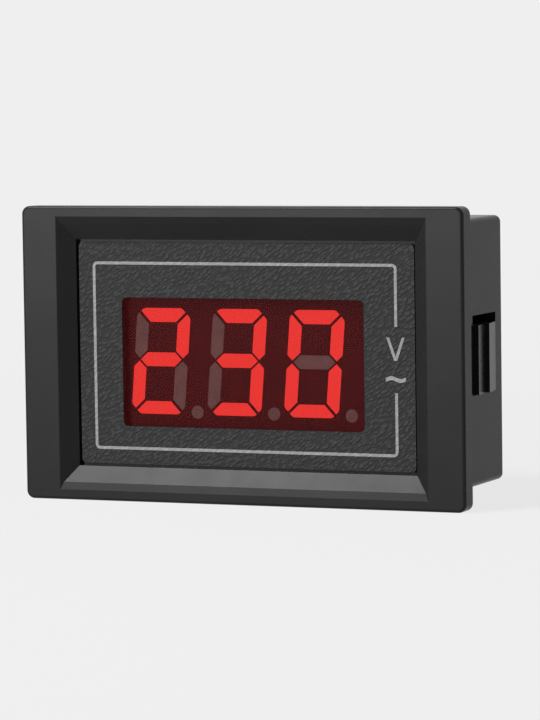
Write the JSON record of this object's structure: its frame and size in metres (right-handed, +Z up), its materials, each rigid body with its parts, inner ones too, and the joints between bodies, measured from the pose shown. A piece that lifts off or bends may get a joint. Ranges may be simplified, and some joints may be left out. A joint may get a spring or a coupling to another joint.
{
  "type": "digital panel meter",
  "caption": "Snap-in panel voltmeter: black bezel and case, grained face plate, red LED digits behind a red window, screw terminals at the rear.",
  "frame": {"origin": "centre of the bezel's rear face, where it seats on the panel", "axes": "+X to the right of the display, +Y to the rear, into the panel, +Z up"},
  "size_m": [0.064, 0.0244, 0.04],
  "materials": {
    "housing_plastic": "satin moulded plastic",
    "plate_film": "leather-grained film",
    "legend_ink": "matte screen-print ink",
    "red_filter": "clear red pane",
    "display_shell": "matte",
    "lit_epoxy": "glowing diffused epoxy",
    "dark_epoxy": "diffused epoxy, not lit",
    "tinned_wire": "tinned",
    "board_laminate": "solder mask",
    "chip_resin": "moulded resin",
    "film_box": "filled box",
    "capacitor_sleeve": "shrink sleeve",
    "varistor_coat": "epoxy dipped",
    "resistor_coat": "lacquered",
    "diode_resin": "moulded resin",
    "trimmer_shell": "moulded",
    "rotor_nylon": "nylon",
    "terminal_plastic": "moulded plastic",
    "contact_brass": "stamped",
    "plated_steel": "zinc plated"
  },
  "bodies": {
    "meter": {"housing": "housing_plastic", "face_plate": "plate_film", "printed_legend": "legend_ink", "window_filter": "red_filter", "display_body": "display_shell", "lit_segments": "lit_epoxy", "unlit_segments": "dark_epoxy", "display_pins": "tinned_wire", "main_board": "board_laminate", "driver_chip": "chip_resin", "dropper_capacitor": "film_box", "smoothing_capacitor": "capacitor_sleeve", "surge_varistor": "varistor_coat", "fusible_resistor": "resistor_coat", "rectifier_diodes": "diode_resin", "trimmer_body": "trimmer_shell", "terminal_block": "terminal_plastic", "contact_plates": "contact_brass", "rear_cover": "housing_plastic", "cover_screws": "plated_steel"},
    "clip_left": {"clip_left": "housing_plastic"},
    "clip_right": {"clip_right": "housing_plastic"},
    "clamp_left": {"clamp_left": "plated_steel"},
    "clamp_right": {"clamp_right": "plated_steel"},
    "screw_left": {"screw_left": "plated_steel"},
    "screw_right": {"screw_right": "plated_steel"},
    "trimmer_rotor": {"trimmer_rotor": "rotor_nylon"}
  },
  "joints": [
    {"name": "clip_left_swing", "type": "hinge", "parent": "meter", "child": "clip_left", "pos_m": [-0.02734, 0.0132, -0.00695], "axis": [0, 1, 0], "range_deg": [0, 6], "stiffness_Nm_per_rad": 0.5},
    {"name": "clip_right_swing", "type": "hinge", "parent": "meter", "child": "clip_right", "pos_m": [0.02734, 0.0132, -0.00695], "axis": [0, -1, 0], "range_deg": [0, 6], "stiffness_Nm_per_rad": 0.5},
    {"name": "clamp_left_lift", "type": "slide", "parent": "meter", "child": "clamp_left", "axis": [0, 1, 0], "range_m": [0, 0.0025]},
    {"name": "screw_left_turn", "type": "hinge", "parent": "clamp_left", "child": "screw_left", "pos_m": [-0.00425, 0.018, -0.0028], "axis": [0, 1, 0], "range_deg": [0, 1800]},
    {"name": "clamp_right_lift", "type": "slide", "parent": "meter", "child": "clamp_right", "axis": [0, 1, 0], "range_m": [0, 0.0025]},
    {"name": "screw_right_turn", "type": "hinge", "parent": "clamp_right", "child": "screw_right", "pos_m": [0.00425, 0.018, -0.0028], "axis": [0, 1, 0], "range_deg": [0, 1800]},
    {"name": "trimmer_turn", "type": "hinge", "parent": "meter", "child": "trimmer_rotor", "pos_m": [0.02028, 0.0138, 0.0043], "axis": [0, 1, 0], "range_deg": [-135, 135]}
  ],
  "couplings": [
    {"joint": "screw_left_turn", "follows": "clamp_left_lift", "rad_per_m": 12566},
    {"joint": "screw_right_turn", "follows": "clamp_right_lift", "rad_per_m": 12566}
  ]
}
